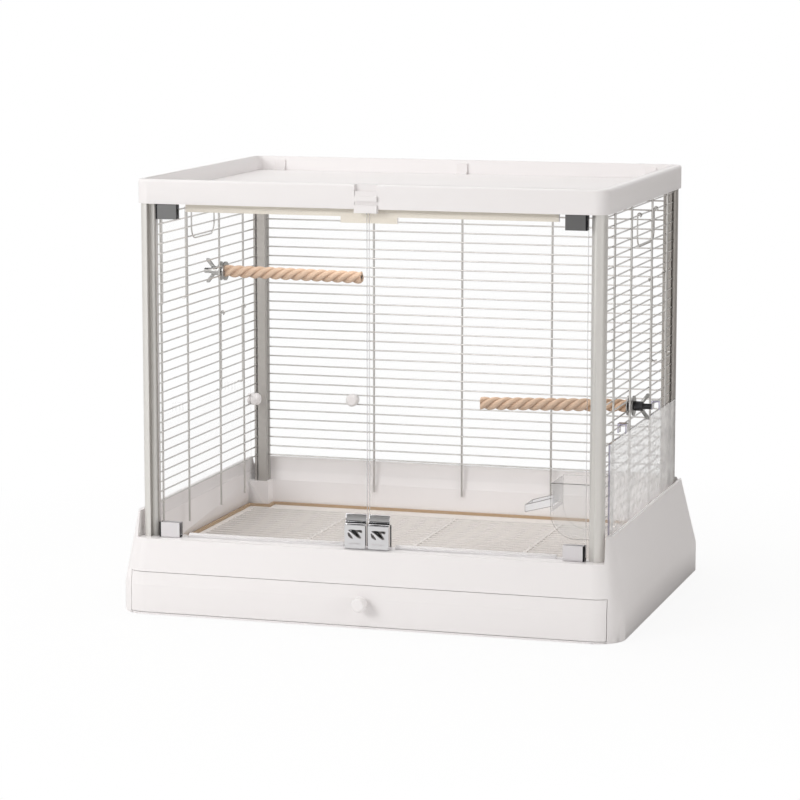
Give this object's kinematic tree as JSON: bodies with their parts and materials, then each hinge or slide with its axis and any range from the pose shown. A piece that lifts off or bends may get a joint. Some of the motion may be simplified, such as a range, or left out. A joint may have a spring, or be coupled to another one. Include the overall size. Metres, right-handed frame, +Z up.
{
  "type": "bird cage",
  "caption": "Rectangular small-bird cage with clear double front doors, wire side and back walls, a flared drawer base, rope perches, wire flaps and a seed cup.",
  "frame": {"origin": "under the middle of the base, on the plane it stands on, midway between the knob's front and the base's back", "axes": "+X to the right when facing the doors, +Y from the doors to the back, +Z up"},
  "size_m": [0.538, 0.43, 0.4535],
  "materials": {
    "white_plastic": "smooth white moulding",
    "grate_plastic": "light grey moulding",
    "edging_plastic": "tan strip",
    "post_aluminium": "satin anodised",
    "cage_wire": "satin plated wire",
    "clear_acrylic": "clear polished sheet",
    "clip_metal": "satin",
    "pull_chrome": "polished plating",
    "perch_rope": "twisted sisal",
    "fastener_steel": "plated"
  },
  "bodies": {
    "cage": {"base_shell": "white_plastic", "floor_ledge": "white_plastic", "floor_grate": "grate_plastic", "floor_edging": "edging_plastic", "roof_frame": "white_plastic", "roof_panel": "white_plastic", "roof_snap_clips": "white_plastic", "front_left_post": "post_aluminium", "front_right_post": "post_aluminium", "rear_left_post": "post_aluminium", "rear_right_post": "post_aluminium", "post_screws": "fastener_steel", "left_wire_wall": "cage_wire", "right_wire_wall": "cage_wire", "back_wire_wall": "cage_wire", "left_perch_rope": "perch_rope", "right_perch_rope": "perch_rope", "left_perch_rod": "fastener_steel", "right_perch_rod": "fastener_steel", "left_inner_washer": "fastener_steel", "left_outer_washer": "fastener_steel", "right_inner_washer": "fastener_steel", "right_outer_washer": "fastener_steel", "left_splash_guard": "clear_acrylic", "right_splash_guard": "clear_acrylic", "seed_cup": "clear_acrylic", "side_plug": "white_plastic", "back_plug": "white_plastic"},
    "left_door": {"left_door_pane": "clear_acrylic", "left_upper_clip": "clip_metal", "left_lower_clip": "clip_metal", "left_pivot_pins": "fastener_steel", "left_clip_screws": "fastener_steel", "left_pull": "pull_chrome"},
    "right_door": {"right_door_pane": "clear_acrylic", "right_upper_clip": "clip_metal", "right_lower_clip": "clip_metal", "right_pivot_pins": "fastener_steel", "right_clip_screws": "fastener_steel", "right_pull": "pull_chrome"},
    "latch": {"slide_latch": "white_plastic"},
    "drawer": {"drawer_front": "white_plastic", "drawer_tray": "white_plastic", "drawer_knob": "white_plastic", "knob_screw": "fastener_steel"},
    "left_nut": {"left_wing_nut": "fastener_steel"},
    "right_nut": {"right_wing_nut": "fastener_steel"},
    "left_front_flap": {"left_front_flap": "cage_wire"},
    "left_rear_flap": {"left_rear_flap": "cage_wire"},
    "right_rear_flap": {"right_rear_flap": "cage_wire"},
    "left_hanger": {"left_hanger": "cage_wire"},
    "right_hanger": {"right_hanger": "cage_wire"}
  },
  "joints": [
    {"name": "left_door_hinge", "type": "hinge", "parent": "cage", "child": "left_door", "pos_m": [-0.2195, -0.177, 0.25], "axis": [0, 0, -1], "range_deg": [0, 110]},
    {"name": "right_door_hinge", "type": "hinge", "parent": "cage", "child": "right_door", "pos_m": [0.2195, -0.177, 0.25], "axis": [0, 0, 1], "range_deg": [0, 110]},
    {"name": "latch_slide", "type": "slide", "parent": "cage", "child": "latch", "axis": [0, 0, 1], "range_m": [-0.0085, 0]},
    {"name": "drawer_slide", "type": "slide", "parent": "cage", "child": "drawer", "axis": [0, -1, 0], "range_m": [0, 0.22]},
    {"name": "left_nut_turn", "type": "hinge", "parent": "cage", "child": "left_nut", "pos_m": [-0.2515, 0.0604, 0.33359], "axis": [1, 0, 0], "continuous": true},
    {"name": "right_nut_turn", "type": "hinge", "parent": "cage", "child": "right_nut", "pos_m": [0.2515, -0.04, 0.2181], "axis": [1, 0, 0], "continuous": true},
    {"name": "left_front_flap_hinge", "type": "hinge", "parent": "cage", "child": "left_front_flap", "pos_m": [-0.242, -0.08875, 0.4135], "axis": [0, 1, 0], "range_deg": [0, 80]},
    {"name": "left_rear_flap_hinge", "type": "hinge", "parent": "cage", "child": "left_rear_flap", "pos_m": [-0.242, 0.08875, 0.2875], "axis": [0, 1, 0], "range_deg": [0, 80]},
    {"name": "right_rear_flap_hinge", "type": "hinge", "parent": "cage", "child": "right_rear_flap", "pos_m": [0.242, 0.08875, 0.34], "axis": [0, -1, 0], "range_deg": [0, 80]},
    {"name": "left_hanger_swing", "type": "hinge", "parent": "cage", "child": "left_hanger", "pos_m": [-0.242, -0.011, 0.4135], "axis": [0, -1, 0], "range_deg": [0, 60]},
    {"name": "right_hanger_swing", "type": "hinge", "parent": "cage", "child": "right_hanger", "pos_m": [0.242, 0.037, 0.4135], "axis": [0, 1, 0], "range_deg": [0, 60]}
  ]
}
